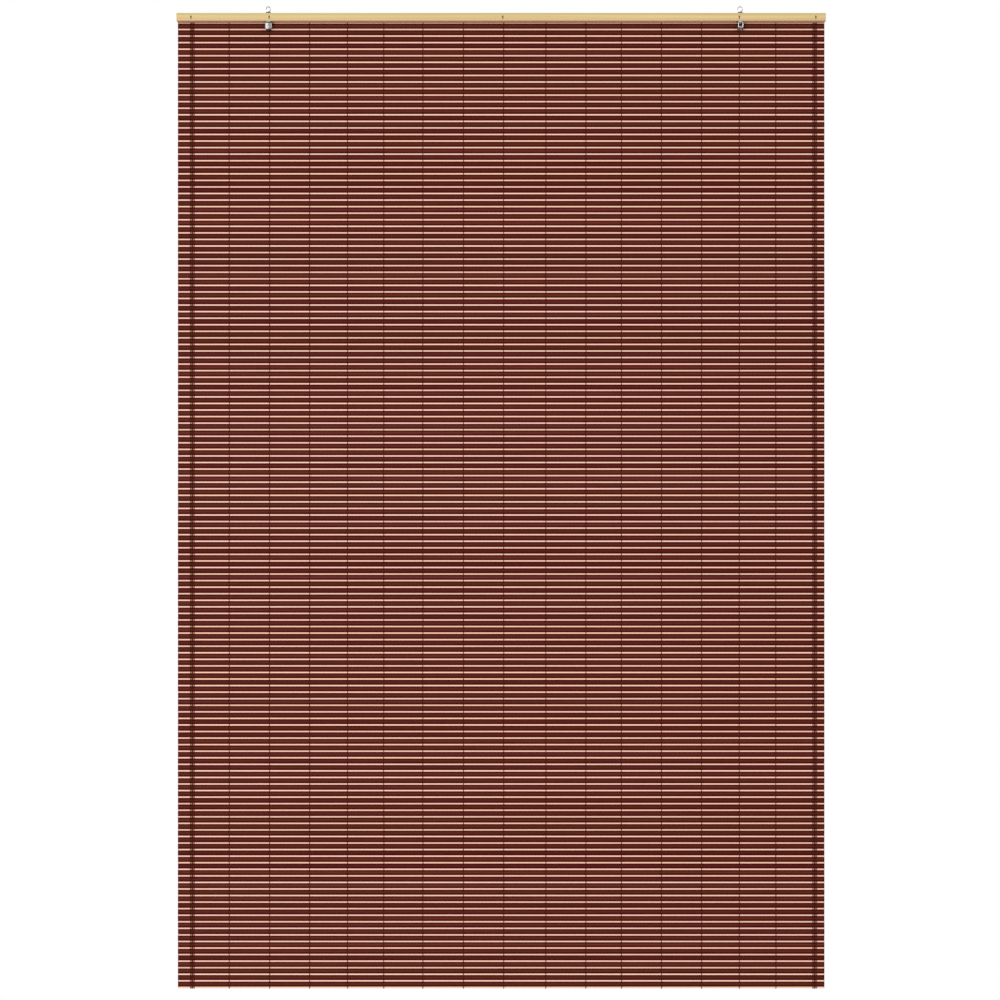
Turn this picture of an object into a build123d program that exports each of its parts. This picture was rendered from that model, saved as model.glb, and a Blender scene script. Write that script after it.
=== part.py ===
from build123d import *
import os
from math import asin, cos, degrees, radians, sin

# Bamboo roll up blind, hung from two hooks, let down to its full drop.
# Origin: mid-way along the line on which the hooks hang. Front faces -Y, +Z is up.

# Head rail with a rounded front, and the thin batten nailed on behind it
RAIL_LENGTH = 1219.2
RAIL_HEIGHT = 15.0
RAIL_DEPTH = 20.0
RAIL_CROWN = 1.8
RAIL_EDGE_RADIUS = 1.6
BATTEN_DEPTH = 5.0
BATTEN_EDGE_RADIUS = 0.8
HOOK_SETBACK = 10.0

# Mat: wide stained slats and narrow natural sticks, side by side, all in one wall
MAT_INSET = 0.2
SLAT_COUNT = 148
SLAT_HEIGHT = 9.244
STICK_HEIGHT = 3.123
GROOVE_HALF_DEPTH = 0.6
SLAT_FRONT_CROWN = 0.7
SLAT_BACK_RISE = 0.4
SLAT_EASE = 1.0
STICK_FRONT_RISE = 0.5
STICK_EASE = 0.8
MAT_TOP_DROP = 1.6

# Warp threads: loops round the mat, laid at uneven places as on a hand loom.
# The first and last place hold a band of strand pairs, parted at the middle for a nail.
THREAD_WIDTH = 1.4
THREAD_DEPTH = 0.8
THREAD_EASE = 0.4
THREAD_CLEARANCE = 0.03
CLAMP_CLEARANCE = 0.05
WARP_PLACE_SHARES = (
    -0.4778, -0.4208, -0.3584, -0.2965, -0.2378, -0.1818, -0.1213, -0.0585, 0.0036,
    0.0689, 0.1308, 0.1857, 0.2477, 0.3097, 0.3680, 0.4245, 0.4846,
)
EDGE_STRAND_PAIRS = 2
EDGE_STRAND_GAP = 0.3
STRAND_NAIL_CLEARANCE = 0.08

# Hooks of bent wire, with their collars and washers. Each stands a little outside a warp thread.
WIRE_DIAMETER = 1.8
BOW_RADIUS = 4.5
NECK_TURN_ANGLE = 76.0
BOW_TIP_ANGLE = 190.0
COLLAR_DIAMETER = 9.6
COLLAR_HEIGHT = 2.6
COLLAR_EDGE = 0.4
WASHER_DIAMETER = 15.0
WASHER_THICKNESS = 1.5
WASHER_EDGE = 0.3
SHANK_CLEARANCE = 0.1
HEAD_DIAMETER = 4.0
HEAD_THICKNESS = 1.4
HOOK_SIDESTEP = 0.9
HOOK_REST_ANGLES = (38.0, 0.0)

# Pulley blocks: a bent strap with crowned cheeks, a grooved sheave and a riveted pin
STRAP_WIDTH = 10.2
STRAP_THICKNESS = 1.2
STRAP_BEND_RADIUS = 2.2
CHEEK_DEPTH = 12.2
CHEEK_CROWN = 0.5
CHEEK_BELOW_PIN = 6.9
SWIVEL_CLEARANCE = 0.08
SWIVEL_PLAY = 0.1
SHEAVE_DIAMETER = 10.0
SHEAVE_ROOT_DIAMETER = 5.8
SHEAVE_RIM = 1.2
SHEAVE_SIDE_CLEARANCE = 0.4
SHEAVE_TOP_CLEARANCE = 0.8
PIN_DIAMETER = 2.6
PIN_CLEARANCE = 0.05
RIVET_DIAMETER = 4.0
RIVET_RISE = 0.8
BLOCK_REST_ANGLES = (-86.0, 4.0)

# Nails through rail, top slat and batten, beside threads or in the middle of a band
NAIL_DIAMETER = 1.2
NAIL_CLEARANCE = 0.05
NAIL_HEAD_DIAMETER = 3.0
NAIL_HEAD_THICKNESS = 0.7
NAIL_SINK = 0.3
NAIL_BITE = 3.8
NAIL_POINT = 1.4
NAIL_DROP = 7.0

# Heights, worked down from the hooks' bearing line
neck_turn = radians(NECK_TURN_ANGLE)
neck_radius = BOW_RADIUS * cos(neck_turn) / (1 - cos(neck_turn))
bow_rise = (BOW_RADIUS + neck_radius) * sin(neck_turn)
bow_centre_z = WIRE_DIAMETER / 2 - BOW_RADIUS
neck_z = bow_centre_z - bow_rise
rail_top_z = neck_z - COLLAR_HEIGHT
rail_bottom_z = rail_top_z - RAIL_HEIGHT
washer_bottom_z = rail_bottom_z - WASHER_THICKNESS
strap_top_z = washer_bottom_z - SWIVEL_PLAY
head_top_z = strap_top_z - STRAP_THICKNESS - SWIVEL_PLAY
head_bottom_z = head_top_z - HEAD_THICKNESS
pin_drop = strap_top_z - head_bottom_z + SHEAVE_TOP_CLEARANCE + SHEAVE_DIAMETER / 2
strap_drop = pin_drop + CHEEK_BELOW_PIN
pin_z = strap_top_z - pin_drop
mat_top_z = rail_top_z - MAT_TOP_DROP
mat_pitch = SLAT_HEIGHT + STICK_HEIGHT
mat_height = SLAT_COUNT * mat_pitch + STICK_HEIGHT
mat_bottom_z = mat_top_z - mat_height
nail_z = rail_top_z - NAIL_DROP

# Depths, worked back from the hook shanks
rail_back_y = HOOK_SETBACK
rail_front_y = rail_back_y - RAIL_DEPTH
slat_front_depth = GROOVE_HALF_DEPTH + SLAT_FRONT_CROWN
slat_back_depth = GROOVE_HALF_DEPTH + SLAT_BACK_RISE
thread_front_y = rail_back_y + CLAMP_CLEARANCE
mat_y = thread_front_y + THREAD_DEPTH + THREAD_CLEARANCE + slat_front_depth
thread_back_y = mat_y + slat_back_depth + THREAD_CLEARANCE + THREAD_DEPTH
batten_front_y = thread_back_y + CLAMP_CLEARANCE
batten_back_y = batten_front_y + BATTEN_DEPTH

# Places along the rail
mat_width = RAIL_LENGTH - 2 * MAT_INSET
warp_places = [share * mat_width for share in WARP_PLACE_SHARES]
left_line, middle_line, right_line = (warp_places[number] for number in (2, 8, 14))
hook_places = [left_line - HOOK_SIDESTEP, right_line + HOOK_SIDESTEP]
beside_thread = NAIL_DIAMETER / 2 + STRAND_NAIL_CLEARANCE + THREAD_WIDTH / 2
nail_places = [
    warp_places[0],
    left_line + beside_thread,
    middle_line - beside_thread,
    right_line - beside_thread,
    warp_places[-1],
]

wire_radius = WIRE_DIAMETER / 2
shank_hole_radius = wire_radius + SHANK_CLEARANCE
nail_hole_radius = NAIL_DIAMETER / 2 + NAIL_CLEARANCE
strap_gap = STRAP_WIDTH - 2 * STRAP_THICKNESS


def save(node, shape):
    """Write one named piece."""
    shape.label = node
    export_step(shape, f"parts/{node}.step")


def upright_cylinder(radius, height, x, z_low):
    """Cylinder on the hooks' depth line, standing on z_low."""
    standing = (Align.CENTER, Align.CENTER, Align.MIN)
    return Pos(x, 0, z_low) * Cylinder(radius, height, align=standing)


def cross_cylinder(radius, length, x, y_front):
    """Cylinder at the nails' height, running back from y_front."""
    standing = (Align.CENTER, Align.CENTER, Align.MIN)
    return Pos(x, y_front, nail_z) * Rot(X=-90) * Cylinder(radius, length, align=standing)


def nail_holes(y_front, length):
    """Shank holes of all the nails."""
    return [cross_cylinder(nail_hole_radius, length, x, y_front) for x in nail_places]


def head_rail():
    """Batten with a crowned front, bored for the hooks and the nails."""
    shoulder_y = rail_front_y + RAIL_CROWN
    middle_z = (rail_top_z + rail_bottom_z) / 2
    with BuildPart() as rail:
        with BuildSketch(Plane.YZ):
            with BuildLine():
                Polyline(
                    (shoulder_y, rail_top_z),
                    (rail_back_y, rail_top_z),
                    (rail_back_y, rail_bottom_z),
                    (shoulder_y, rail_bottom_z),
                )
                ThreePointArc(
                    (shoulder_y, rail_bottom_z), (rail_front_y, middle_z), (shoulder_y, rail_top_z)
                )
            make_face()
            front_corners = vertices().group_by(Axis.X)[0]
            fillet(front_corners, RAIL_EDGE_RADIUS)
        extrude(amount=RAIL_LENGTH / 2, both=True)
    bores = [upright_cylinder(shank_hole_radius, RAIL_HEIGHT, x, rail_bottom_z) for x in hook_places]
    recess_radius = NAIL_HEAD_DIAMETER / 2 + NAIL_CLEARANCE
    recess_length = NAIL_SINK + NAIL_HEAD_THICKNESS
    recesses = [cross_cylinder(recess_radius, recess_length, x, rail_front_y) for x in nail_places]
    return rail.part - bores - recesses - nail_holes(rail_front_y, RAIL_DEPTH)


def clamp_batten():
    """Thin lath that pinches the mat against the rail."""
    with BuildPart() as batten:
        with BuildSketch(Plane.YZ):
            with Locations((batten_front_y, rail_top_z)):
                Rectangle(BATTEN_DEPTH, RAIL_HEIGHT, align=(Align.MIN, Align.MAX))
            back_corners = vertices().group_by(Axis.X)[-1]
            fillet(back_corners, BATTEN_EDGE_RADIUS)
        extrude(amount=RAIL_LENGTH / 2, both=True)
    return batten.part - nail_holes(batten_front_y, NAIL_BITE)


def crowned_face(groove_y, z_low, z_high):
    """Rounded front of a slat in the mat's section."""
    crown = (groove_y - SLAT_FRONT_CROWN, (z_low + z_high) / 2)
    return [ThreePointArc((groove_y, z_low), crown, (groove_y, z_high))]


def eased_face(groove_y, z_low, z_high, rise, ease):
    """Flat face with its two edges taken down, in the mat's section."""
    corners = [
        (groove_y, z_low),
        (groove_y + rise, z_low + ease),
        (groove_y + rise, z_high - ease),
        (groove_y, z_high),
    ]
    return [Line(low, high) for low, high in zip(corners, corners[1:])]


def mat_front():
    """Crowned slats and eased sticks, from the lowest stick to the top one."""
    groove_y = mat_y - GROOVE_HALF_DEPTH
    faces = []
    for row in range(SLAT_COUNT):
        stick_z = mat_bottom_z + row * mat_pitch
        slat_z = stick_z + STICK_HEIGHT
        faces += eased_face(groove_y, stick_z, slat_z, -STICK_FRONT_RISE, STICK_EASE)
        faces += crowned_face(groove_y, slat_z, stick_z + mat_pitch)
    faces += eased_face(groove_y, mat_top_z - STICK_HEIGHT, mat_top_z, -STICK_FRONT_RISE, STICK_EASE)
    return faces


def mat_back():
    """Flat slats standing a little behind the flat sticks, from the lowest stick to the top one."""
    groove_y = mat_y + GROOVE_HALF_DEPTH
    faces = []
    for row in range(SLAT_COUNT):
        stick_z = mat_bottom_z + row * mat_pitch
        slat_z = stick_z + STICK_HEIGHT
        faces += [Line((groove_y, stick_z), (groove_y, slat_z))]
        faces += eased_face(groove_y, slat_z, stick_z + mat_pitch, SLAT_BACK_RISE, SLAT_EASE)
    faces += [Line((groove_y, mat_top_z - STICK_HEIGHT), (groove_y, mat_top_z))]
    return faces


def slat_mat():
    """Slats and sticks as crowned ridges in one wall, with a hole for each nail."""
    front = mat_front()
    back = mat_back()
    bottom = Line(back[0] @ 0, front[0] @ 0)
    top = Line(front[-1] @ 1, back[-1] @ 1)
    section = Plane.YZ * make_face([bottom, *front, top, *back])
    mat = extrude(section, amount=mat_width / 2, both=True)
    mat_depth = slat_front_depth + slat_back_depth
    return mat - nail_holes(mat_y - slat_front_depth, mat_depth)


def warp_thread(x):
    """One strand laid down the front of the mat, under it, up the back and over its top."""
    loop_height = mat_height + 2 * THREAD_CLEARANCE
    loop_middle = ((thread_front_y + thread_back_y) / 2, (mat_top_z + mat_bottom_z) / 2)
    outer_depth = thread_back_y - thread_front_y
    with BuildPart() as thread:
        with BuildSketch(Plane.YZ.offset(x)):
            with Locations(loop_middle):
                Rectangle(outer_depth, loop_height + 2 * THREAD_DEPTH)
                chamfer(vertices(), THREAD_EASE)
                Rectangle(outer_depth - 2 * THREAD_DEPTH, loop_height, mode=Mode.SUBTRACT)
        extrude(amount=THREAD_WIDTH / 2, both=True)
    return thread.part


def edge_strands(place):
    """Places of the strands that make up one edge band, in pairs on both sides of its nail."""
    offsets = [beside_thread + pair * (THREAD_WIDTH + EDGE_STRAND_GAP) for pair in range(EDGE_STRAND_PAIRS)]
    return sorted(place + side * offset for offset in offsets for side in (-1, 1))


def nail(x):
    """Round wire nail with a flat head and a cone point."""
    head_y = rail_front_y + NAIL_SINK
    seat_y = head_y + NAIL_HEAD_THICKNESS
    tip_y = batten_front_y + NAIL_BITE
    with BuildPart() as body:
        with BuildSketch(Plane.XY):
            with BuildLine():
                Polyline(
                    (0, head_y),
                    (NAIL_HEAD_DIAMETER / 2, head_y),
                    (NAIL_HEAD_DIAMETER / 2, seat_y),
                    (NAIL_DIAMETER / 2, seat_y),
                    (NAIL_DIAMETER / 2, tip_y - NAIL_POINT),
                    (0, tip_y),
                    close=True,
                )
            make_face()
        revolve(axis=Axis.Y)
    return Pos(x, 0, nail_z) * body.part


def hook():
    """Open hook: upset head, straight shank, neck bend and round bow ending in a domed tip."""
    with BuildLine(Plane.XZ) as route:
        shank = Line((0, head_bottom_z), (0, neck_z))
        neck = JernArc(shank @ 1, shank % 1, neck_radius, -NECK_TURN_ANGLE)
        bow = JernArc(neck @ 1, neck % 1, BOW_RADIUS, NECK_TURN_ANGLE + BOW_TIP_ANGLE)
    section = Plane.XY.offset(head_bottom_z) * Circle(wire_radius)
    wire = sweep(section, path=route.line)
    tip = Pos(bow @ 1) * Sphere(wire_radius)
    head = upright_cylinder(HEAD_DIAMETER / 2, HEAD_THICKNESS, 0, head_bottom_z)
    return wire + tip + head


def ring(diameter, thickness, edge, z_low):
    """Flat ring round a hook shank, with its outer edges broken."""
    disc = upright_cylinder(diameter / 2, thickness, 0, z_low)
    rims = disc.edges().filter_by(GeomType.CIRCLE)
    return chamfer(rims, edge) - upright_cylinder(shank_hole_radius, thickness, 0, z_low)


def pulley_strap():
    """Strip bent into an upside-down U, with crowned cheeks and round ends; its top face is at zero."""
    cheek_radius = CHEEK_DEPTH / 2
    crown_x = STRAP_WIDTH / 2
    rim_x = crown_x - CHEEK_CROWN
    inner_bend = STRAP_BEND_RADIUS - STRAP_THICKNESS
    hanging = (Align.CENTER, Align.MAX)
    with BuildPart() as strap:
        with BuildSketch(Plane.XZ):
            with BuildSketch(mode=Mode.PRIVATE) as space:
                with Locations((0, -STRAP_THICKNESS)):
                    Rectangle(strap_gap, strap_drop, align=hanging)
                fillet(space.vertices().group_by(Axis.Y)[-1], inner_bend)
            Rectangle(STRAP_WIDTH, strap_drop, align=hanging)
            fillet(vertices().group_by(Axis.Y)[-1], STRAP_BEND_RADIUS)
            add(space.sketch, mode=Mode.SUBTRACT)
        extrude(amount=cheek_radius, both=True)
        with BuildSketch(Plane.YZ):
            Rectangle(CHEEK_DEPTH, strap_drop - cheek_radius, align=hanging)
            with Locations((0, cheek_radius - strap_drop)):
                Circle(cheek_radius)
        extrude(amount=STRAP_WIDTH / 2, both=True, mode=Mode.INTERSECT)
        with BuildSketch(Plane.XY):
            with BuildLine():
                ThreePointArc((rim_x, -cheek_radius), (crown_x, 0), (rim_x, cheek_radius))
                Line((rim_x, cheek_radius), (-rim_x, cheek_radius))
                ThreePointArc((-rim_x, cheek_radius), (-crown_x, 0), (-rim_x, -cheek_radius))
                Line((-rim_x, -cheek_radius), (rim_x, -cheek_radius))
            make_face()
        extrude(amount=-strap_drop, mode=Mode.INTERSECT)
    swivel_hole = Cylinder(wire_radius + SWIVEL_CLEARANCE, 2 * STRAP_THICKNESS)
    pin_hole = Cylinder(PIN_DIAMETER / 2 + PIN_CLEARANCE, STRAP_WIDTH)
    return strap.part - swivel_hole - Pos(0, 0, -pin_drop) * Rot(Y=90) * pin_hole


def sheave():
    """Wheel with a round-bottomed cord groove, on the X axis."""
    half_width = strap_gap / 2 - SHEAVE_SIDE_CLEARANCE
    rim_radius = SHEAVE_DIAMETER / 2
    bore_radius = PIN_DIAMETER / 2 + PIN_CLEARANCE
    groove_half = half_width - SHEAVE_RIM
    with BuildPart() as wheel:
        with BuildSketch(Plane.XY):
            with BuildLine():
                ThreePointArc(
                    (-groove_half, rim_radius), (0, SHEAVE_ROOT_DIAMETER / 2), (groove_half, rim_radius)
                )
                Polyline(
                    (groove_half, rim_radius),
                    (half_width, rim_radius),
                    (half_width, bore_radius),
                    (-half_width, bore_radius),
                    (-half_width, rim_radius),
                    (-groove_half, rim_radius),
                )
            make_face()
        revolve(axis=Axis.X)
    return wheel.part


def sheave_pin():
    """Pin across the cheeks, with a domed rivet head on each outer face, on the X axis."""
    seat_x = STRAP_WIDTH / 2 + PIN_CLEARANCE
    head_radius = RIVET_DIAMETER / 2
    dome_radius = (head_radius**2 + RIVET_RISE**2) / (2 * RIVET_RISE)
    dome_x = seat_x + RIVET_RISE - dome_radius
    dome = CenterArc((dome_x, 0), dome_radius, 0, degrees(asin(head_radius / dome_radius)))
    outline = Polyline(
        dome @ 1,
        (seat_x, PIN_DIAMETER / 2),
        (0, PIN_DIAMETER / 2),
        (0, 0),
        dome @ 0,
    )
    half = revolve(make_face([dome, outline]), Axis.X)
    return half + mirror(half, Plane.YZ)


os.makedirs("parts", exist_ok=True)

save("head_rail", head_rail())
save("clamp_batten", clamp_batten())
save("rail_nails", Compound([nail(x) for x in nail_places]))
save("slat_mat", slat_mat())

for number, place in enumerate(warp_places[1:-1], start=1):
    save(f"warp_thread_{number:02d}", warp_thread(place))
for side, place in (("left", warp_places[0]), ("right", warp_places[-1])):
    for number, strand_x in enumerate(edge_strands(place), start=1):
        save(f"{side}_edge_strand_{number}", warp_thread(strand_x))

hangers = zip(("left", "right"), hook_places, HOOK_REST_ANGLES, BLOCK_REST_ANGLES)
for side, place, hook_angle, block_angle in hangers:
    on_rail = Pos(place, 0, 0)
    turned = on_rail * Rot(Z=block_angle)
    on_pin = turned * Pos(0, 0, pin_z)
    save(f"{side}_hook", on_rail * Rot(Z=hook_angle) * hook())
    save(f"{side}_hook_collar", on_rail * ring(COLLAR_DIAMETER, COLLAR_HEIGHT, COLLAR_EDGE, rail_top_z))
    save(f"{side}_washer", on_rail * ring(WASHER_DIAMETER, WASHER_THICKNESS, WASHER_EDGE, washer_bottom_z))
    save(f"{side}_pulley_strap", turned * Pos(0, 0, strap_top_z) * pulley_strap())
    save(f"{side}_sheave", on_pin * sheave())
    save(f"{side}_sheave_pin", on_pin * sheave_pin())
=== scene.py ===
import math
import random

import bmesh
import bpy
from bpy.props import FloatProperty, FloatVectorProperty, IntProperty, PointerProperty
from mathutils import Euler, Matrix, Vector, noise


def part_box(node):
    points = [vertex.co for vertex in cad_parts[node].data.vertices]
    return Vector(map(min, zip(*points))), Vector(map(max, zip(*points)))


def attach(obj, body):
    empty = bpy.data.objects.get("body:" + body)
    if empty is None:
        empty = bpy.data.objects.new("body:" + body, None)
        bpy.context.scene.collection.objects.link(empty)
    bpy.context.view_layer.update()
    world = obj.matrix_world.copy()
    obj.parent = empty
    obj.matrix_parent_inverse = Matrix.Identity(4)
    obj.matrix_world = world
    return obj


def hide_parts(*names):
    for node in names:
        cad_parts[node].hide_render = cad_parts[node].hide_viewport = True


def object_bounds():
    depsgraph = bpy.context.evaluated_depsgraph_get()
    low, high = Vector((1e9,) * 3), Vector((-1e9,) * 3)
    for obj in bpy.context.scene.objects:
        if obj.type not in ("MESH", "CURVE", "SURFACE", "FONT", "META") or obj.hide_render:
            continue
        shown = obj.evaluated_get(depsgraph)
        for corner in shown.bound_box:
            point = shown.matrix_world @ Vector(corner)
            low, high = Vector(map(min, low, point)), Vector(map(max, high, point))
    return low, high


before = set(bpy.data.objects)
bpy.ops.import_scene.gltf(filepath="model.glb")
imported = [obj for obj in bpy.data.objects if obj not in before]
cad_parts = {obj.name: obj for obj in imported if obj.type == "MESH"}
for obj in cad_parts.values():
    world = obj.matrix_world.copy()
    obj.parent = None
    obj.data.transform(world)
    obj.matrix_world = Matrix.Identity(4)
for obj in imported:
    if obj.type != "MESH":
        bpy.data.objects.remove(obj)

bl_info = {
    "name": "Bamboo roll up blind",
    "version": (1, 0, 0),
    "blender": (4, 5, 0),
    "location": "3D View > Sidebar > Blind",
    "description": "Slats, sticks, warp threads, wood and nickel for a hanging bamboo blind",
    "category": "Object",
}

CAD_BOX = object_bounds()
MAT_LOW, MAT_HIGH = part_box("slat_mat")
RAIL_LOW, RAIL_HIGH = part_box("head_rail")
SIDES = ("left", "right")

# Seeds for how each row of slats or sticks lies out of true.
SLAT_SEED, STICK_SEED = 11, 29

# Added to the number of a slat or stick for another random number of its own.
SLAT_HUE, STICK_TONE, STICK_RIPENESS = 0.37, 0.11, 0.53

# Noise cells by which its tone shifts a strip's fibres, so that no two strips are alike.
SLAT_SHIFT, STICK_SHIFT = 31, 47

# Noise cells per metre along the rail, through its depth and up the drop.
SLAT_STREAKS = (7, 300, 620)
SLAT_FIBRES = (24, 900, 2600)
SLAT_BLOTCHES = (9, 0, 60)
STICK_FIBRES = (16, 1500, 2200)
STICK_PATCHES = (5, 0, 40)
THREAD_FUZZ = (3000, 3000, 1500)
WOOD_WARP = (3, 30, 30)
WOOD_YEARS = (2.2, 260, 260)
WOOD_PORES = (60, 2400, 2400)
METAL_PATCHES = (420, 420, 420)
METAL_SCRATCHES = (5200, 1400, 900)
NAIL_PATCHES = (900, 900, 900)
FLOOR_FLECKS = (40, 40, 0)

# Each lamp's watts, width and place. The pulley straps mirror the key and the fill.
LAMPS = {
    "front": (210, 3.0, (-2.3, -6.5, -1.8)),
    "key": (9, 0.8, (-0.75, -3.6, 0.6)),
    "fill": (16, 0.6, (1.5, -3.6, 0.62)),
    "back": (55, 2.6, (0.6, 3.8, 0.4)),
}


def length(name, description, default):
    """A size in metres."""
    return FloatProperty(
        name=name, description=description, default=default, unit="LENGTH", precision=5,
    )


def colour(name, description, default):
    """A linear colour."""
    return FloatVectorProperty(
        name=name, description=description, default=default, subtype="COLOR", min=0, max=1,
    )


def share(name, description, default):
    """A part of one."""
    return FloatProperty(
        name=name, description=description, default=default, subtype="FACTOR", min=0, max=1,
    )


def count(name, description, default, least):
    """A whole number."""
    return IntProperty(name=name, description=description, default=default, min=least)


class BlindMat(bpy.types.PropertyGroup):
    """Slats and sticks."""

    slat_count: count("Slats", "Stained slats down the drop", 148, 1)
    stick_height: length("Stick height", "Room that a stick takes in the drop", 0.003123)
    press: length("Press", "How far the threads press a slat and a stick together", 0.00014)
    slat_edge: length("Slat edge", "Radius of a slat's long edges", 0.0008)
    slat_crown: length("Slat crown", "How far a slat's face swells", 0.0004)
    stick_edge: length("Stick edge", "Radius of a stick's long edges", 0.0007)
    stick_front: length("Stick set-back", "Stick's face behind the slats' crowns", 0.0002)
    stick_back: length("Stick back", "Stick's back before the slats' backs", 0.0004)
    end_play: length("Ragged ends", "How far the ends wander along the rail", 0.00012)
    end_soak: length("Soaked ends", "How far the stain darkens the cut ends", 0.0022)
    tilt: FloatProperty(
        name="Tilt", description="How far a slat or stick leans", default=math.radians(1.3),
        subtype="ANGLE",
    )
    slat_pale: colour("Pale slat", "Slats that took the least stain", (0.178, 0.0305, 0.0250))
    slat_deep: colour("Deep slat", "Slats that took the most stain", (0.114, 0.0122, 0.0098))
    slat_brown: colour("Brown slat", "Slats that took less red", (0.125, 0.0270, 0.0120))
    # This dark stain also paints shade along the slats' long edges.
    slat_stain_and_shade: colour("Slat fibre", "Stain in fibres and at edges", (0.044, 0.0034, 0.0010))
    stick_straw: colour("Straw stick", "Ripe natural bamboo", (0.95, 0.62, 0.44))
    stick_pink: colour("Pink stick", "Bamboo with a breath of stain", (0.97, 0.66, 0.54))
    stick_dark: colour("Stick fibre", "Fibres of the natural bamboo", (0.70, 0.40, 0.25))
    stick_rubbed: colour("Stick edge", "Stain rubbed off the slats", (0.62, 0.11, 0.045))

    def pitch(self):
        """Height of one slat and one stick."""
        return (MAT_HIGH.z - MAT_LOW.z - self.stick_height) / self.slat_count

    def width(self):
        """Length of a slat or stick, which leaves room for ragged ends."""
        return MAT_HIGH.x - MAT_LOW.x - 2 * self.end_play


class BlindThread(bpy.types.PropertyGroup):
    """Warp threads."""

    radius: length("Radius", "Half a thread's width over a slat or stick", 0.0009)
    flatness: share("Flatness", "Depth of a pressed thread, of its width", 0.62)
    pinched: length("Pinched radius", "Thread between a slat and a stick", 0.00042)
    sidestep: length("Side step", "Each strand's place beside its line", 0.00034)
    wander: length("Wander", "How far a line strays on its way down", 0.0004)
    gather: share("Gather", "How far a band's inner strands close in below the nail", 0.35)
    spread: share("Spread", "How far a band's outer strands stand off below the rail", 0.12)
    gather_drop: length("Gather drop", "Height over which they find their places", 0.02)
    sides: count("Sides", "Sides of a strand", 5, 4)
    bare: colour("Thread", "Brown cotton over the sticks", (0.205, 0.0660, 0.0300))
    soaked: colour("Soaked thread", "Cotton stained by the slats", (0.156, 0.0145, 0.0100))
    # Painted shade: how light the thread is painted where it dips past a slat's edges.
    edge_shade_level: share("Soaked edge", "Lightness of the thread at a slat's edges", 0.34)

    def weld(self):
        """Distance within which two rings of a strand are one."""
        return self.pinched / 10


class BlindFittings(bpy.types.PropertyGroup):
    """Rail, nails and metal fittings."""

    wood_light: colour("Wood", "Planed rail wood", (0.81, 0.655, 0.315))
    # Makes the lower half of the rail warmer and darker.
    wood_warm: colour("Heart wood", "Lower half of the rail", (0.79, 0.54, 0.28))
    # This grain colour also paints the shade line below the rail's top edge.
    wood_grain_and_shade: colour("Wood grain", "Late wood", (0.66, 0.46, 0.20))
    stain: colour("Nail stain", "Rust that has run into the wood", (0.13, 0.07, 0.02))
    nickel: colour("Nickel", "Bright plate", (0.46, 0.44, 0.41))
    strap: colour("Strap", "Plate of the pulley straps", (0.24, 0.232, 0.228))
    # Painted shade: the straps' lower ends are darkened as if in shadow.
    strap_foot_shade: colour("Grease", "Straps' lower ends, where the cord rubs", (0.045, 0.028, 0.03))
    foot_shade_height: length("Greased end", "Height of that end", 0.0034)
    # Painted shade: dims the right strap's upper end, as if in the washer's shade.
    strap_top_shade: colour("Grime", "Right strap's upper end", (0.050, 0.046, 0.044))
    top_shade_height: length("Grimy end", "Height of that end", 0.0018)
    wheel: colour("Sheave", "Plate of the sheaves, rubbed by the cord", (0.36, 0.34, 0.32))
    tarnish: colour("Tarnish", "Dulled plate", (0.16, 0.145, 0.13))
    dark_metal: colour("Dark metal", "Blackened collars", (0.10, 0.09, 0.08))
    nail: colour("Nail", "Dull wire", (0.09, 0.06, 0.04))
    rust: colour("Rust", "Rust on the nails", (0.17, 0.075, 0.03))


class BlindStage(bpy.types.PropertyGroup):
    """Floor, light and camera."""

    floor_drop: length("Floor", "Floor below the blind", 0.30)
    floor_radius: length("Floor radius", "Half the floor's width", 1.25)
    floor_tone: share("Floor tone", "Grey of the floor", 0.82)
    ambient: share("Room light", "Light from all round", 0.44)
    distance: length("Camera distance", "Camera before the hooks", 5.0)
    lens: FloatProperty(
        name="Lens", description="Focal length in millimetres", default=95.71, unit="CAMERA",
    )
    camera_x: length("Camera place", "Camera beside the middle of the rail", -0.0022)
    camera_drop: length("Camera drop", "Camera below the top of the rail", 0.91477)


class Wire:
    """A shader socket that takes part in Python sums."""

    def __init__(self, nodes, socket):
        self.nodes, self.socket = nodes, socket

    def sum(self, operation, *others):
        """A Math node on this wire and others."""
        return self.nodes.sum(operation, self, *others)

    def __add__(self, other):
        return self.sum("ADD", other)

    def __sub__(self, other):
        return self.sum("SUBTRACT", other)

    def __rsub__(self, other):
        return self.nodes.sum("SUBTRACT", other, self)

    def __mul__(self, other):
        return self.sum("MULTIPLY", other)

    def __truediv__(self, other):
        return self.sum("DIVIDE", other)

    def __rtruediv__(self, other):
        return self.nodes.sum("DIVIDE", other, self)

    def __abs__(self):
        return self.sum("ABSOLUTE")

    __radd__ = __add__
    __rmul__ = __mul__


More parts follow.
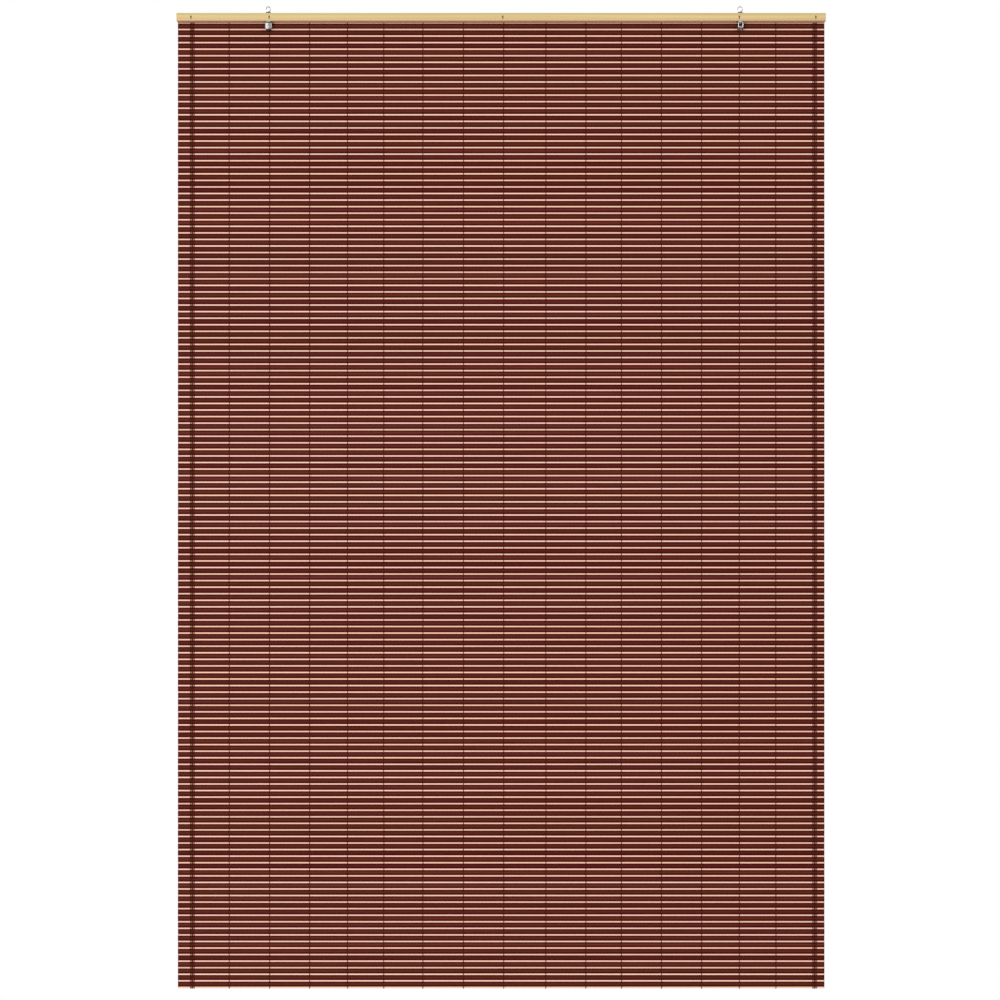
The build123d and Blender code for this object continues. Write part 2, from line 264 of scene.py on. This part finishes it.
class Nodes:
    """The nodes of one material or of the world."""

    def __init__(self, owner):
        owner.use_nodes = True
        self.owner, self.tree = owner, owner.node_tree

    def node(self, kind, settings, inputs, output=0):
        """Adds one node: its settings first, then the values or wires of its sockets."""
        made = self.tree.nodes.new(kind)
        for name, value in settings.items():
            setattr(made, name, value)
        for name, value in inputs.items():
            self.feed(made.inputs[name], value)
        return Wire(self, made.outputs[output])

    def feed(self, socket, value):
        """Gives a socket a wire or a steady value."""
        if isinstance(value, Wire):
            self.tree.links.new(value.socket, socket)
        else:
            socket.default_value = value

    def sum(self, operation, *terms):
        """A Math node on wires and numbers."""
        return self.node("ShaderNodeMath", {"operation": operation}, dict(enumerate(terms)))

    def place(self):
        """The three object coordinates."""
        where = self.node("ShaderNodeTexCoord", {}, {}, "Object")
        return [self.node("ShaderNodeSeparateXYZ", {}, {"Vector": where}, axis) for axis in "XYZ"]

    def grain(self, where, cells, detail, shift=0.0):
        """Noise from 0 to 1, with its own number of cells along each axis, shifted along X."""
        x, y, z = (wire * scale for wire, scale in zip(where, cells))
        point = self.node("ShaderNodeCombineXYZ", {}, {"X": x + shift, "Y": y, "Z": z})
        inputs = {"Vector": point, "Scale": 1.0, "Detail": detail, "Roughness": 0.6}
        return self.node("ShaderNodeTexNoise", {}, inputs, "Fac")

    def chance(self, number):
        """A random number for each whole number."""
        settings = {"noise_dimensions": "1D"}
        return self.node("ShaderNodeTexWhiteNoise", settings, {"W": number}, "Value")

    def fade(self, value, start, end, low=0.0, high=1.0):
        """A smooth step from low to high as the value goes from start to end."""
        inputs = {
            "Value": value, "From Min": start, "From Max": end, "To Min": low, "To Max": high,
        }
        return self.node("ShaderNodeMapRange", {"interpolation_type": "SMOOTHSTEP"}, inputs)

    def mix(self, amount, first, second):
        """One colour over another."""
        below, above = (c if isinstance(c, Wire) else (*c, 1) for c in (first, second))
        settings = {"data_type": "RGBA", "blend_type": "MIX", "clamp_factor": True}
        return self.node("ShaderNodeMix", settings, {0: amount, 6: below, 7: above}, 2)

    def dim(self, tone, level):
        """A colour made darker or lighter."""
        return self.node("ShaderNodeVectorMath", {"operation": "SCALE"}, {0: tone, "Scale": level})

    def bump(self, height, depth, strength):
        """A bumped normal; depth is the height of a full step, in metres."""
        inputs = {"Height": height, "Distance": depth, "Strength": strength}
        return self.node("ShaderNodeBump", {}, inputs)

    def shade(self, inputs):
        """Feeds the material's Principled shader."""
        shader = self.tree.nodes["Principled BSDF"]
        for name, value in inputs.items():
            self.feed(shader.inputs[name], value)
        return self.owner


def material(name):
    """A new material's nodes."""
    return Nodes(bpy.data.materials.new(name))


def cut_ends(n, x, mat):
    """One at the mat's cut ends, and zero away from them."""
    return n.fade(abs(x), MAT_HIGH.x - mat.end_soak, MAT_HIGH.x - mat.end_soak / 3)


def slat_finish(mat):
    """Mahogany stain: fibres along the slat, darker long edges, each slat its own tone."""
    n = material("mahogany_stained_bamboo")
    x, _, z = where = n.place()
    row = (z - (MAT_LOW.z + mat.stick_height)) / mat.pitch()
    number = row.sum("FLOOR")
    slat_share = 1 - mat.stick_height / mat.pitch()
    # Painted highlight: the slat is palest along this line, as if lit from above, and painted shade
    # darkens it towards its long edges.
    lit_line = 1.07  # just above the slat's middle, which is at 1
    from_lit_line = abs(row.sum("FRACT") * (2 / slat_share) - lit_line)
    tone = n.chance(number)
    hue = n.chance(number + SLAT_HUE)
    shift = tone * SLAT_SHIFT
    streak = n.grain(where, SLAT_STREAKS, 3, shift)
    fibre = n.grain(where, SLAT_FIBRES, 2, shift)
    blotch = n.grain(where, SLAT_BLOTCHES, 2, shift)
    face = n.mix(tone, mat.slat_deep, mat.slat_pale)
    face = n.mix(n.fade(hue, 0.6, 0.95, 0, 0.7), face, mat.slat_brown)
    depth = n.fade(streak, 0.35, 0.75, 0, 0.3) + n.fade(fibre, 0.4, 0.8, 0, 0.24)
    # Painted shade darkens the long edges on top of the stain; the cut ends take more stain.
    depth = depth + n.fade(from_lit_line, 0.1, 0.72, 0, 0.8) + cut_ends(n, x, mat) * 0.7
    dyed_and_shaded = n.mix(depth, face, mat.slat_stain_and_shade)
    return n.shade({
        "Base Color": n.dim(dyed_and_shaded, 0.92 + blotch * 0.16),
        "Roughness": 0.42 + fibre * 0.2,
        "Specular IOR Level": 0.04,
        "Normal": n.bump(fibre * 0.6 + streak * 0.4, 0.00012, 0.5),
    })


def stick_finish(mat):
    """Bare bamboo: fine fibres, some sticks riper than others, edges rubbed with stain."""
    n = material("natural_bamboo_stick")
    x, _, z = where = n.place()
    below_foot = 0.25  # share of a pitch that still counts to the stick above it
    number = ((z - MAT_LOW.z) / mat.pitch() + below_foot).sum("FLOOR")
    tone = n.chance(number + STICK_TONE)
    shift = tone * STICK_SHIFT
    fibre = n.grain(where, STICK_FIBRES, 3, shift)
    patch = n.grain(where, STICK_PATCHES, 2, shift)
    depth = n.fade(fibre, 0.42, 0.85, 0, 0.25) + n.fade(patch, 0.5, 0.8, 0, 0.15)
    plain = n.mix(n.chance(number + STICK_RIPENESS), mat.stick_straw, mat.stick_pink)
    cut = n.mix(depth, plain, mat.stick_dark)
    half = mat.stick_height / 2
    up = (z - MAT_LOW.z - half - number * mat.pitch()) / half
    above_slat = n.fade(number, 0.2, 0.8)
    stained = n.fade(up, 0.5, 1.0, 0, 0.85) + n.fade(up, -0.45, -1.0, 0, 0.85) * above_slat
    stained = stained + cut_ends(n, x, mat) * 0.4
    rubbed = n.mix(stained, cut, mat.stick_rubbed)
    # Painted shadow: the sticks darken just below the rail's lower edge, where the rail shades
    # them; the variable pressed carries this painted shade.
    rail_shade_start, rail_shade_full = RAIL_LOW.z - 0.0012, RAIL_LOW.z - 0.0005
    pressed = n.fade(z, rail_shade_start, rail_shade_full, 1, 0.42)
    return n.shade({
        "Base Color": n.dim(rubbed, (0.92 + tone * 0.16) * pressed),
        "Roughness": 0.5 + fibre * 0.2,
        "Specular IOR Level": 0.2,
        "Normal": n.bump(fibre, 0.0001, 0.4),
    })


def thread_finish(mat, thread):
    """Brown cotton in two twisted plies, a little fuzzy, soaked with stain on the slats."""
    n = material("brown_cotton_thread")
    x, y, z = where = n.place()
    turns_up, turns_round = 1100, 800  # of the plies, per metre
    turns = (z * turns_up + (x + y) * turns_round).sum("FRACT")
    # Painted shade in the grooves between the plies; the same groove also drives the bump.
    ply_groove = n.fade(abs(turns - 0.5), 0.08, 0.42)
    fuzz = n.grain(where, THREAD_FUZZ, 3)
    half_stick = mat.stick_height / mat.pitch() / 2
    row = ((z - MAT_LOW.z) / mat.pitch() + (0.5 - half_stick)).sum("FRACT")
    from_stick = abs(row - 0.5)
    on_stick = n.fade(from_stick, half_stick * 0.75, half_stick * 1.05, 1, 0)
    cotton = n.mix(on_stick, thread.soaked, thread.bare)
    # Painted shade where the thread dips past a slat's edges.
    edge = n.fade(from_stick, 0.3, 0.5, thread.edge_shade_level, 1)
    level = (1.25 - ply_groove * 0.34 - fuzz * 0.16) * edge.sum("MAXIMUM", on_stick)
    return n.shade({
        "Base Color": n.dim(cotton, level),
        "Roughness": 0.8 + fuzz * 0.15,
        "Specular IOR Level": 0.1,
        "Normal": n.bump(fuzz * 0.4 - ply_groove * 0.6, 0.00015, 0.8),
    })


def nail_places():
    """Where the nails stand along the rail."""
    nearest = 0.01  # no two nails stand closer than this
    groups = []
    for x in sorted(v.co.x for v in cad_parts["rail_nails"].data.vertices):
        if groups and x - groups[-1][-1] < nearest:
            groups[-1].append(x)
        else:
            groups.append([x])
    return [(group[0] + group[-1]) / 2 for group in groups]


def wood_finish(fittings):
    """Planed pale wood: long grain, fine pores, and a rust stain under each nail."""
    n = material("planed_rail_wood")
    x, y, z = where = n.place()
    warp = n.grain(where, WOOD_WARP, 2) * 0.012
    year = n.grain((x, y, z + warp), WOOD_YEARS, 3)
    pore = n.grain(where, WOOD_PORES, 2)
    depth = n.fade(year, 0.38, 0.72, 0, 0.5) + n.fade(pore, 0.58, 0.8, 0, 0.4)
    height = z + warp * 0.1
    # Warmer and darker towards the bottom of the rail.
    warmth_start, warmth_full = RAIL_HIGH.z - 0.006, RAIL_HIGH.z - 0.011
    lower_warmth = n.fade(height, warmth_start, warmth_full)
    # Painted shade: a darker line just below the rail's rounded top edge, mixed in with the grain.
    shade_line_place, shade_line_core, shade_line_edge = RAIL_HIGH.z - 0.0029, 0.0004, 0.0016
    ring = n.fade(abs(height - shade_line_place), shade_line_core, shade_line_edge, 0.55, 0)
    sawn = n.mix(lower_warmth, fittings.wood_light, fittings.wood_warm)
    plain = n.mix(depth + ring, sawn, fittings.wood_grain_and_shade)
    nail_low, nail_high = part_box("rail_nails")
    stain_drop, stain_half_width, stain_half_height = 0.0024, 0.0021, 0.0046
    below = (z - ((nail_low.z + nail_high.z) / 2 - stain_drop)) / stain_half_height
    rust = 0.0
    for place in nail_places():
        aside = (x - place) / stain_half_width
        away = (aside * aside + below * below).sum("SQRT")
        rust = n.fade(away, 0.25, 1.0, 1, 0) + rust
    face_end, back_start = RAIL_LOW.y + 0.0025, RAIL_LOW.y + 0.0045
    front = n.fade(y, face_end, back_start, 1, 0)
    rusted_and_shaded = n.mix(rust * front * 0.75, plain, fittings.stain)
    # Painted shade on the underside of the rail.
    underside_shade_rim = 0.0008
    level = n.fade(z, RAIL_LOW.z, RAIL_LOW.z + underside_shade_rim, 0.85, 1)
    return n.shade({
        "Base Color": n.dim(rusted_and_shaded, level),
        "Roughness": 0.55 + pore * 0.2,
        "Specular IOR Level": 0.2,
        "Normal": n.bump(pore * 0.6 - year * 0.4, 0.00015, 0.35),
    })


def metal_finish(name, bright, dull, smooth, dulling, ends=()):
    """Metal with rubbed patches and scratches; each end is the heights of its fade and a tone."""
    n = material(name)
    _, _, z = where = n.place()
    patch = n.grain(where, METAL_PATCHES, 3)
    scratch = n.grain(where, METAL_SCRATCHES, 2)
    base = n.mix(n.fade(patch, 0.42, 0.72, 0, dulling), bright, dull)
    for start, full, tone in ends:
        ragged = z + (patch - 0.5) * 0.001
        base = n.mix(n.fade(ragged, start, full, 0, 0.95), base, tone)
    return n.shade({
        "Base Color": base,
        "Metallic": 1.0,
        "Roughness": smooth + patch * 0.22 + scratch * 0.06,
        "Normal": n.bump(scratch, 0.00003, 0.3),
    })


def nail_finish(fittings):
    """Dull wire with rust."""
    n = material("rusty_wire_nail")
    patch = n.grain(n.place(), NAIL_PATCHES, 3)
    rusty = n.fade(patch, 0.4, 0.65)
    return n.shade({
        "Base Color": n.mix(rusty, fittings.nail, fittings.rust),
        "Metallic": 0.7 - rusty * 0.6,
        "Roughness": 0.5 + rusty * 0.35,
        "Normal": n.bump(patch, 0.0001, 0.6),
    })


def dress(node, finish):
    """Gives a CAD node its finish."""
    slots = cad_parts[node].data.materials
    slots.clear()
    slots.append(finish)


def link_object(name, data):
    """Puts a mesh, lamp or camera into the scene."""
    made = bpy.data.objects.new(name, data)
    bpy.context.scene.collection.objects.link(made)
    return made


def link_mesh(bm, name, finish):
    """Turns a bmesh into an object with one finish."""
    mesh = bpy.data.meshes.new(name)
    bm.to_mesh(mesh)
    bm.free()
    mesh.materials.append(finish)
    return link_object(name, mesh)


def add_piece(bm, name, finish, replaced):
    """Makes a bmesh a piece of the blind that stands for CAD nodes."""
    piece = link_mesh(bm, name, finish)
    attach(piece, "blind")
    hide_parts(*replaced)


def everything(bm):
    """All that a bmesh holds, as an operator takes it."""
    return bm.verts[:] + bm.edges[:] + bm.faces[:]


def only(kind, items):
    """The vertices or edges among an operator's results."""
    return [item for item in items if isinstance(item, kind)]


def strip(bm, size, edge):
    """A strip along X round the origin with rounded long edges and square-cut ends."""
    bmesh.ops.create_cube(bm, size=1, matrix=Matrix.Diagonal((*size, 1)))
    half = size[0] / 2
    long_edges = [e for e in bm.edges if abs(e.verts[0].co.x - e.verts[1].co.x) > half]
    bmesh.ops.bevel(
        bm, geom=long_edges, offset=edge, offset_type="OFFSET", affect="EDGES",
        segments=3, profile=0.5, material=-1, clamp_overlap=True,
    )


def soften(bm):
    """Smooth shading along the strips, with crisp cut ends."""
    for face in bm.faces:
        face.smooth = abs(face.normal.x) < 0.5
    for edge in bm.edges:
        edge.smooth = len({face.smooth for face in edge.link_faces}) == 1


def lay_rows(bm, first_z, y, rows, seed, mat):
    """Repeats the strip in the bmesh up the mat, each a little out of true."""
    chance = random.Random(seed)
    first = everything(bm)
    for row in range(rows):
        made = bmesh.ops.duplicate(bm, geom=first)["geom"] if row < rows - 1 else first
        verts = only(bmesh.types.BMVert, made)
        lean = Euler((chance.uniform(-mat.tilt, mat.tilt), 0, 0)).to_matrix()
        bmesh.ops.rotate(bm, verts=verts, cent=(0, 0, 0), matrix=lean)
        shift = (chance.uniform(-mat.end_play, mat.end_play), y, first_z + row * mat.pitch())
        bmesh.ops.translate(bm, verts=verts, vec=shift)


class BLIND_OT_slats(bpy.types.Operator):
    """Stained slats, one above the other down the whole drop"""

    bl_idname = "blind.slats"
    bl_label = "Slats"

    def execute(self, context):
        mat = context.scene.blind_mat
        room = mat.pitch() - mat.stick_height
        depth = MAT_HIGH.y - MAT_LOW.y - mat.slat_crown
        bm = bmesh.new()
        strip(bm, (mat.width(), depth, room + mat.press), mat.slat_edge)
        halved = bmesh.ops.bisect_plane(
            bm, geom=everything(bm), plane_co=(0, 0, 0), plane_no=(0, 0, 1),
        )["geom_cut"]
        crown = [vert for vert in only(bmesh.types.BMVert, halved) if vert.co.y < 0]
        bmesh.ops.translate(bm, verts=crown, vec=(0, -mat.slat_crown, 0))
        bm.normal_update()
        soften(bm)
        first_z = MAT_LOW.z + mat.stick_height + room / 2
        lay_rows(bm, first_z, MAT_HIGH.y - depth / 2, mat.slat_count, SLAT_SEED, mat)
        add_piece(bm, "bamboo_slats", slat_finish(mat), ["slat_mat"])
        return {"FINISHED"}


class BLIND_OT_sticks(bpy.types.Operator):
    """Natural sticks between the slats and below the last one"""

    bl_idname = "blind.sticks"
    bl_label = "Sticks"

    def execute(self, context):
        mat = context.scene.blind_mat
        front, back = MAT_LOW.y + mat.stick_front, MAT_HIGH.y - mat.stick_back
        bm = bmesh.new()
        strip(bm, (mat.width(), back - front, mat.stick_height + mat.press), mat.stick_edge)
        soften(bm)
        first_z = MAT_LOW.z + mat.stick_height / 2
        lay_rows(bm, first_z, (front + back) / 2, mat.slat_count + 1, STICK_SEED, mat)
        add_piece(bm, "natural_sticks", stick_finish(mat), ["slat_mat"])
        return {"FINISHED"}


def strand(bm, thread, stations):
    """A pressed strand through stations (y, z, half width), with level rings."""
    y, z, radius = stations[0]
    start = Matrix.Translation((0, y, z)) @ Matrix.Diagonal((1, thread.flatness, 1, 1))
    ring = bmesh.ops.create_circle(bm, segments=thread.sides, radius=radius, matrix=start)
    edges = list({edge for vert in ring["verts"] for edge in vert.link_edges})
    for next_y, next_z, next_radius in stations[1:]:
        made = bmesh.ops.extrude_edge_only(bm, edges=edges)["geom"]
        verts = only(bmesh.types.BMVert, made)
        edges = [e for e in only(bmesh.types.BMEdge, made) if set(e.verts) <= set(verts)]
        bmesh.ops.translate(bm, verts=verts, vec=(0, next_y - y, next_z - z))
        growth = next_radius / radius
        centre = Matrix.Translation((0, -next_y, -next_z))
        bmesh.ops.scale(bm, verts=verts, vec=(growth, growth, 1), space=centre)
        y, z, radius = next_y, next_z, next_radius


def warp_pair(mat, thread):
    """Two strands at x zero that pass each other between every slat and stick."""
    pitch, stick, radius = mat.pitch(), mat.stick_height, thread.radius
    middle_y = (MAT_LOW.y + MAT_HIGH.y) / 2
    # A strand's middle stands proud of the bamboo, and drops by a shoulder at a slat's edges.
    proud, shoulder = radius * thread.flatness * 0.85, mat.slat_crown * 0.8
    slat_front, slat_back = MAT_LOW.y - proud, MAT_HIGH.y + proud
    stick_front = MAT_LOW.y + mat.stick_front - proud
    stick_back = MAT_HIGH.y - mat.stick_back + proud
    before_edge, past_edge = stick * 0.4, stick * 0.66

    def cell(on_stick, near_edge, on_slat):
        """Stations from one stick's middle up to the next one's."""
        up = [
            (on_stick, 0, radius),
            (on_stick, before_edge, radius),
            (middle_y, stick / 2, thread.pinched),
            (near_edge, past_edge, radius),
            (on_slat, pitch / 2, radius),
        ]
        return up + [(y, pitch - z, half) for y, z, half in reversed(up[:-1])]

    bm = bmesh.new()
    first_z = MAT_LOW.z + stick / 2
    for side, stations in (
        (-1, cell(stick_back, slat_front + shoulder, slat_front)),
        (1, cell(stick_front, slat_back, slat_back)),
    ):
        known = set(bm.verts)
        strand(bm, thread, stations)
        verts = [vert for vert in bm.verts if vert not in known]
        bmesh.ops.translate(bm, verts=verts, vec=(side * thread.sidestep, 0, first_z))
    unit = everything(bm)
    for row in range(1, mat.slat_count):
        made = bmesh.ops.duplicate(bm, geom=unit)["geom"]
        verts = only(bmesh.types.BMVert, made)
        bmesh.ops.translate(bm, verts=verts, vec=(0, 0, row * pitch))
    bmesh.ops.remove_doubles(bm, verts=bm.verts[:], dist=thread.weld())
    turn_under(bm, mat, thread, first_z, (stick_front + stick_back) / 2)
    open_edges = [edge for edge in bm.edges if edge.is_boundary]
    bmesh.ops.holes_fill(bm, edges=open_edges, sides=thread.sides)
    bmesh.ops.recalc_face_normals(bm, faces=bm.faces[:])
    for face in bm.faces:
        face.smooth = True
    return bm


def turn_under(bm, mat, thread, first_z, middle_y):
    """Leads the front strand under the lowest stick and up to the back one."""
    low = first_z - mat.stick_height / 2
    top = first_z + thread.pinched
    rim = [e for e in bm.edges if e.is_boundary and max(v.co.z for v in e.verts) < top]
    made = bmesh.ops.extrude_edge_only(bm, edges=rim)["geom"]
    verts = only(bmesh.types.BMVert, made)
    bmesh.ops.translate(bm, verts=verts, vec=(0, 0, low - first_z))
    front = {vert for vert in verts if vert.co.y < middle_y}
    ring = [edge for edge in only(bmesh.types.BMEdge, made) if set(edge.verts) <= front]
    steps, squash = 6, 0.5
    bmesh.ops.spin(
        bm, geom=[*ring, *front], cent=(0, middle_y, low), axis=(1, 0, 0), angle=math.pi,
        steps=steps, dvec=(-2 * thread.sidestep / steps, 0, 0), use_merge=False,
        use_duplicate=False,
    )
    below = [v for v in bm.verts if v.co.z < low - thread.weld()]
    bmesh.ops.scale(bm, verts=below, vec=(1, 1, squash), space=Matrix.Translation((0, 0, -low)))


class BLIND_OT_threads(bpy.types.Operator):
    """Fifteen warp lines and the two edge bands, woven round the slats and sticks"""

    bl_idname = "blind.threads"
    bl_label = "Warp threads"

    def execute(self, context):
        mat, thread = context.scene.blind_mat, context.scene.blind_thread
        finish = thread_finish(mat, thread)
        pattern = warp_pair(mat, thread)
        names = sorted(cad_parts)
        lines = {name: [name] for name in names if name.startswith("warp_thread")}
        for side in SIDES:
            strands = [name for name in names if name.startswith(f"{side}_edge_strand")]
            lines[f"{side}_edge_band"] = strands
        for name, nodes in lines.items():
            places = [sum(corner.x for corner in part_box(node)) / 2 for node in nodes]
            middle = sum(places) / len(places)
            piece = bmesh.new()
            for place in places:
                inner = places[0] < place < places[-1]
                shift = (middle - place) * (thread.gather if inner else -thread.spread)
                self.add_line(piece, pattern, place, shift, thread)
            add_piece(piece, f"woven_{name}", finish, nodes)
        pattern.free()
        return {"FINISHED"}

    def add_line(self, piece, pattern, place, shift, thread):
        """Lays one pair of strands, which strays a little and shifts below the rail."""
        bends_along, bends_down = 90, 6  # stray noise cells per metre
        line = pattern.copy()
        for vert in line.verts:
            stray = noise.noise((place * bends_along, 0, vert.co.z * bends_down))
            below = min(max((RAIL_LOW.z - vert.co.z) / thread.gather_drop, 0), 1)
            vert.co.x += place + thread.wander * stray + shift * below
        mesh = bpy.data.meshes.new("line")
        line.to_mesh(mesh)
        line.free()
        piece.from_mesh(mesh)
        bpy.data.meshes.remove(mesh)


class BLIND_OT_rail(bpy.types.Operator):
    """Wood of the head rail and clamp batten, and the nails"""

    bl_idname = "blind.rail"
    bl_label = "Rail, batten and nails"

    def execute(self, context):
        fittings = context.scene.blind_fittings
        wood = wood_finish(fittings)
        dress("head_rail", wood)
        dress("clamp_batten", wood)
        dress("rail_nails", nail_finish(fittings))
        return {"FINISHED"}


class BLIND_OT_hangers(bpy.types.Operator):
    """Metal of the hooks, collars, washers and pulley blocks"""

    bl_idname = "blind.hangers"
    bl_label = "Hooks and pulley blocks"

    def execute(self, context):
        fit = context.scene.blind_fittings
        dull = fit.tarnish
        plate = metal_finish("bright_nickel", fit.nickel, dull, smooth=0.16, dulling=0.6)
        straps = self.strap_finishes(fit)
        wheel = metal_finish("dulled_sheave_nickel", fit.wheel, dull, smooth=0.3, dulling=0.5)
        black = metal_finish("blackened_collar", fit.dark_metal, dull, smooth=0.34, dulling=0.3)
        for side in SIDES:
            for part in ("hook", "washer", "sheave_pin"):
                dress(f"{side}_{part}", plate)
            dress(f"{side}_pulley_strap", straps[side])
            dress(f"{side}_sheave", wheel)
            dress(f"{side}_hook_collar", black)
        return {"FINISHED"}

    def strap_finishes(self, fit):
        """Plate with a greased lower end, on the right also with a grimy upper end."""
        low, high = (corner.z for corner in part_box("left_pulley_strap"))
        # Painted shade on the straps' lower ends and on the right strap's upper end.
        foot_shade_top, foot_shade_fade = low + fit.foot_shade_height, 0.0009
        top_shade_low, top_shade_fade = high - fit.top_shade_height, 0.0006
        lower = (foot_shade_top, foot_shade_top - foot_shade_fade, fit.strap_foot_shade)
        upper = (top_shade_low, top_shade_low + top_shade_fade, fit.strap_top_shade)
        return {
            side: metal_finish(
                f"{side}_strap_nickel", fit.strap, fit.tarnish, smooth=0.08, dulling=0.4, ends=ends,
            )
            for side, ends in zip(SIDES, ([lower], [lower, upper]))
        }


class BLIND_OT_stage(bpy.types.Operator):
    """Floor, soft studio light, white surroundings and the camera"""

    bl_idname = "blind.stage"
    bl_label = "Stage"

    def execute(self, context):
        stage = context.scene.blind_stage
        self.add_floor(stage)
        self.add_world(context.scene, stage)
        self.add_lamps()
        self.add_camera(context.scene, stage)
        context.scene.view_settings.view_transform = "Standard"
        return {"FINISHED"}

    def add_floor(self, stage):
        """A round pale floor under the blind."""
        n = material("pale_floor")
        fleck = n.grain(n.place(), FLOOR_FLECKS, 3)
        pale = n.mix(fleck * 0.05, (stage.floor_tone,) * 3, (1, 1, 1))
        finish = n.shade({"Base Color": pale, "Roughness": 0.9, "Specular IOR Level": 0.1})
        bm = bmesh.new()
        bmesh.ops.create_circle(
            bm, cap_ends=True, segments=96, radius=stage.floor_radius,
            matrix=Matrix.Translation((0, 0, CAD_BOX[0].z - stage.floor_drop)),
        )
        floor = link_mesh(bm, "floor", finish)

    def add_world(self, scene, stage):
        """White surroundings for the eye and the metal, and a dimmer room for the rest."""
        scene.world = bpy.data.worlds.new("white_studio")
        n = Nodes(scene.world)
        seen = n.node("ShaderNodeLightPath", {}, {}, "Is Camera Ray")
        for ray in ("Is Glossy Ray", "Is Transmission Ray"):
            seen = seen.sum("MAXIMUM", n.node("ShaderNodeLightPath", {}, {}, ray))
        sky = n.tree.nodes["Background"]
        n.feed(sky.inputs["Color"], (1, 1, 1, 1))
        n.feed(sky.inputs["Strength"], seen * (1 - stage.ambient) + stage.ambient)

    def add_lamps(self):
        """Soft square lamps that face the middle of the blind."""
        middle = Vector((0, 0, (CAD_BOX[0].z + CAD_BOX[1].z) / 2))
        for name, (power, size, place) in LAMPS.items():
            lamp = bpy.data.lights.new(name, "AREA")
            lamp.energy = power
            lamp.size = size
            holder = link_object(name, lamp)
            holder.location = place
            turn = (middle - Vector(place)).to_track_quat("-Z", "Y")
            holder.rotation_euler = turn.to_euler()

    def add_camera(self, scene, stage):
        """A long lens square to the blind, half-way down."""
        view = bpy.data.cameras.new("camera")
        view.lens = stage.lens
        view.clip_end = 100
        camera = link_object("camera", view)
        camera.location = (stage.camera_x, -stage.distance, RAIL_HIGH.z - stage.camera_drop)
        camera.rotation_euler = (math.pi / 2, 0, 0)
        scene.camera = camera


class BLIND_PT_sidebar(bpy.types.Panel):
    """The blind's sizes, colours and makers"""

    bl_label = "Bamboo roll up blind"
    bl_idname = "BLIND_PT_sidebar"
    bl_space_type = "VIEW_3D"
    bl_region_type = "UI"
    bl_category = "Blind"

    def draw(self, context):
        for operator in OPERATORS:
            self.layout.operator(operator.bl_idname)
        for name, group in SETTINGS.items():
            column = self.layout.column(heading=group.__doc__)
            for setting in group.__annotations__:
                column.prop(getattr(context.scene, name), setting)


SETTINGS = {
    "blind_mat": BlindMat,
    "blind_thread": BlindThread,
    "blind_fittings": BlindFittings,
    "blind_stage": BlindStage,
}
OPERATORS = (
    BLIND_OT_slats, BLIND_OT_sticks, BLIND_OT_threads,
    BLIND_OT_rail, BLIND_OT_hangers, BLIND_OT_stage,
)
CLASSES = (*SETTINGS.values(), *OPERATORS, BLIND_PT_sidebar)


def register():
    """Adds the settings, operators and panel."""
    for item in CLASSES:
        bpy.utils.register_class(item)
    for name, group in SETTINGS.items():
        setattr(bpy.types.Scene, name, PointerProperty(type=group))


def unregister():
    """Takes them away again."""
    for name in SETTINGS:
        delattr(bpy.types.Scene, name)
    for item in reversed(CLASSES):
        bpy.utils.unregister_class(item)


def main():
    """Makes the blind and its stage, and notes the sizes."""
    register()
    for operator in OPERATORS:
        group, name = operator.bl_idname.split(".")
        getattr(getattr(bpy.ops, group), name)()


if __name__ == "__main__":
    main()
